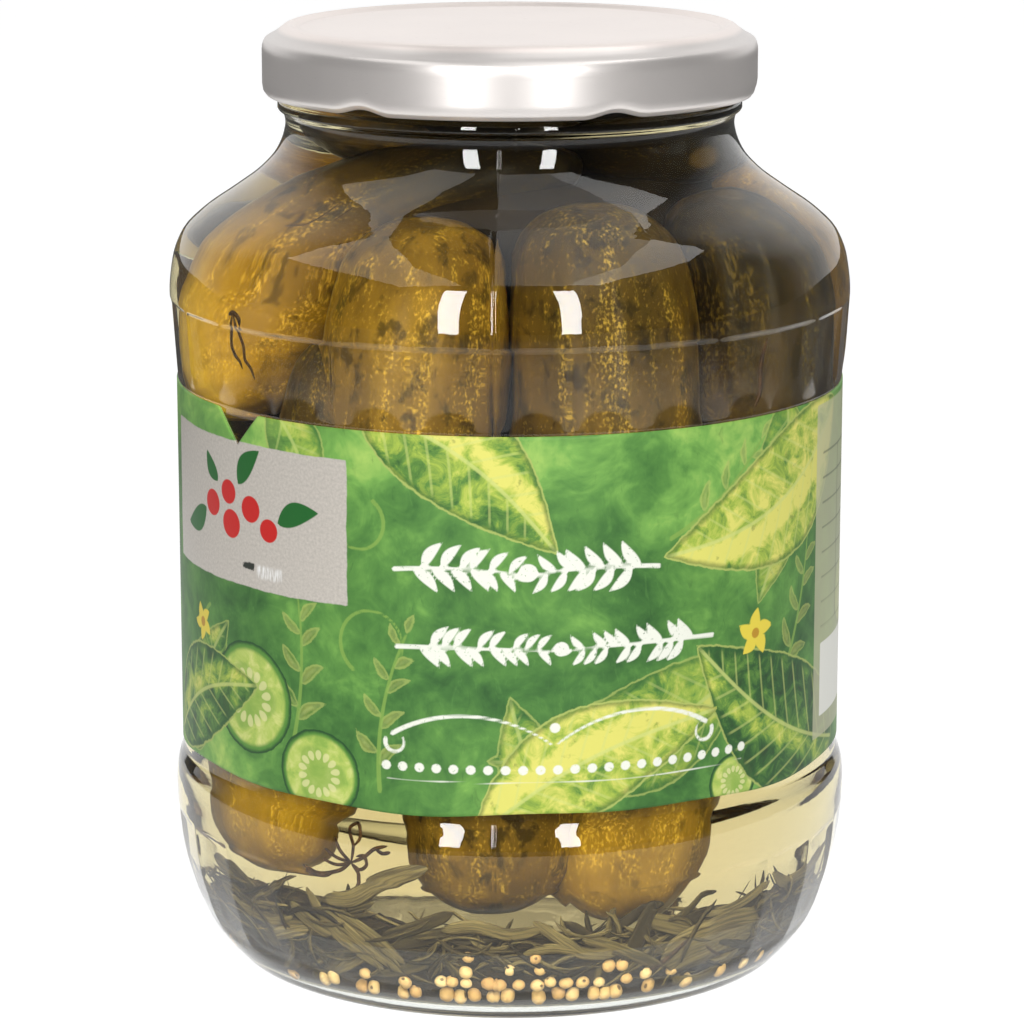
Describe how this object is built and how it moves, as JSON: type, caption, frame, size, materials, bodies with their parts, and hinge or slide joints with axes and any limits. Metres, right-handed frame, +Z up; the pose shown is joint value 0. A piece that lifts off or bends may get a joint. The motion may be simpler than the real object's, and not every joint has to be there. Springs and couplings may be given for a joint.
{
  "type": "pickle jar",
  "caption": "Shut glass jar of whole pickled cucumbers with a pressed metal twist lid, faceted heel and shoulder, and a paper band round the body.",
  "frame": {"origin": "middle of the contact ring under the jar, on the surface it stands on", "axes": "+Z up along the jar's axis, -Y towards the front of the label, +X to the right seen from the front"},
  "size_m": [0.1194, 0.1194, 0.1646],
  "materials": {
    "glass": "clear gloss",
    "lid_metal": "satin silver lacquer",
    "label_paper": "coated paper",
    "pickle_skin": "wet cucumber skin",
    "dill_and_seeds": "soaked stems, leaves and seeds"
  },
  "bodies": {
    "root": {"jar_glass": "glass", "lid": "lid_metal", "label": "label_paper", "pickles": "pickle_skin", "dill_bed": "dill_and_seeds"}
  },
  "joints": []
}
